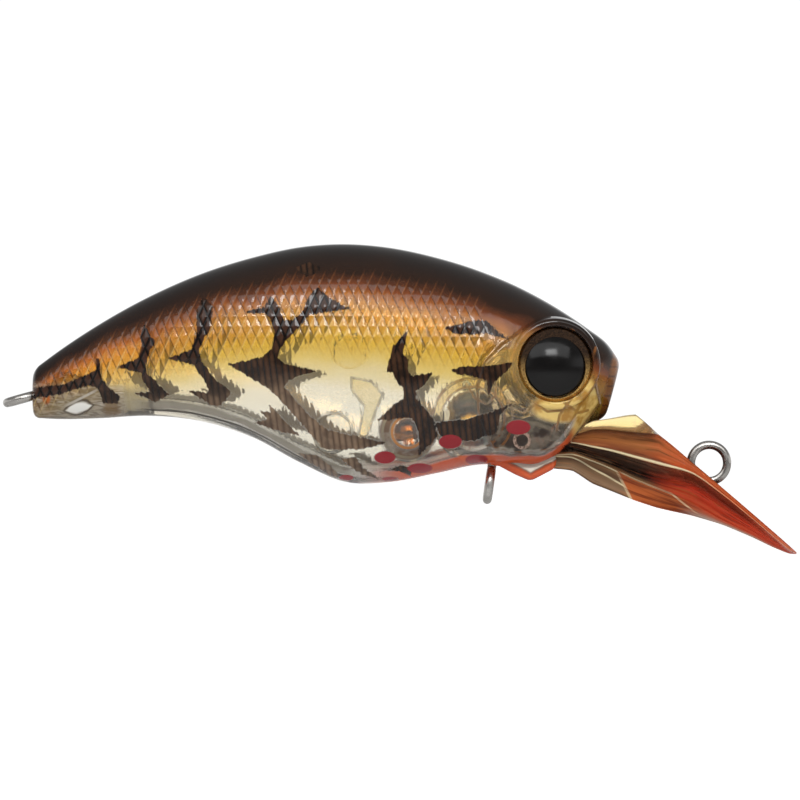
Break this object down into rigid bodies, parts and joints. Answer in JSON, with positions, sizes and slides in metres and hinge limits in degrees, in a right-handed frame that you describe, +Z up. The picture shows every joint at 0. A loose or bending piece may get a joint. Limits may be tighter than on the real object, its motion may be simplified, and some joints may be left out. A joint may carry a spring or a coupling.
{
  "type": "crankbait lure",
  "caption": "Hump-backed hollow crankbait with a faceted diving lip, round wire eyes, domed eyes and rattle balls that slide in cross chambers.",
  "frame": {"origin": "centre of the line-tie eye on the diving lip", "axes": "+X forward, from tail to head; +Y towards the lure's left side, square to the body's parting plane; +Z up, towards the back"},
  "size_m": [0.066, 0.0136, 0.0259],
  "materials": {
    "painted_clear_body": "clear moulded shell with a gold to copper candy coat and a near-black back",
    "amber_lip": "clear amber plastic with orange and red translucent paint towards the tip",
    "stainless_wire": "drawn stainless wire",
    "gold_iris": "bright gold plating",
    "black_pupil": "high gloss black",
    "dark_ballast": "dark grey cast weight",
    "brass_ball": "copper-toned brass ball",
    "steel_ball": "polished steel ball"
  },
  "bodies": {
    "lure": {"body_half_right": "painted_clear_body", "body_half_left": "painted_clear_body", "diving_lip": "amber_lip", "line_tie_wire": "stainless_wire", "belly_hook_hanger": "stainless_wire", "tail_hook_hanger": "stainless_wire", "right_eye_ring": "gold_iris", "left_eye_ring": "gold_iris", "right_eye_dome": "black_pupil", "left_eye_dome": "black_pupil", "throat_ballast": "dark_ballast"},
    "belly_ball": {"belly_rattle_ball": "brass_ball"},
    "head_ball": {"chamber_ball": "steel_ball"}
  },
  "joints": [
    {"name": "belly_ball_slide", "type": "slide", "parent": "lure", "child": "belly_ball", "axis": [0, 1, 0], "range_m": [-0.00298, 0.00298]},
    {"name": "head_ball_slide", "type": "slide", "parent": "lure", "child": "head_ball", "axis": [0, 1, 0], "range_m": [-0.0023, 0.0023]}
  ]
}
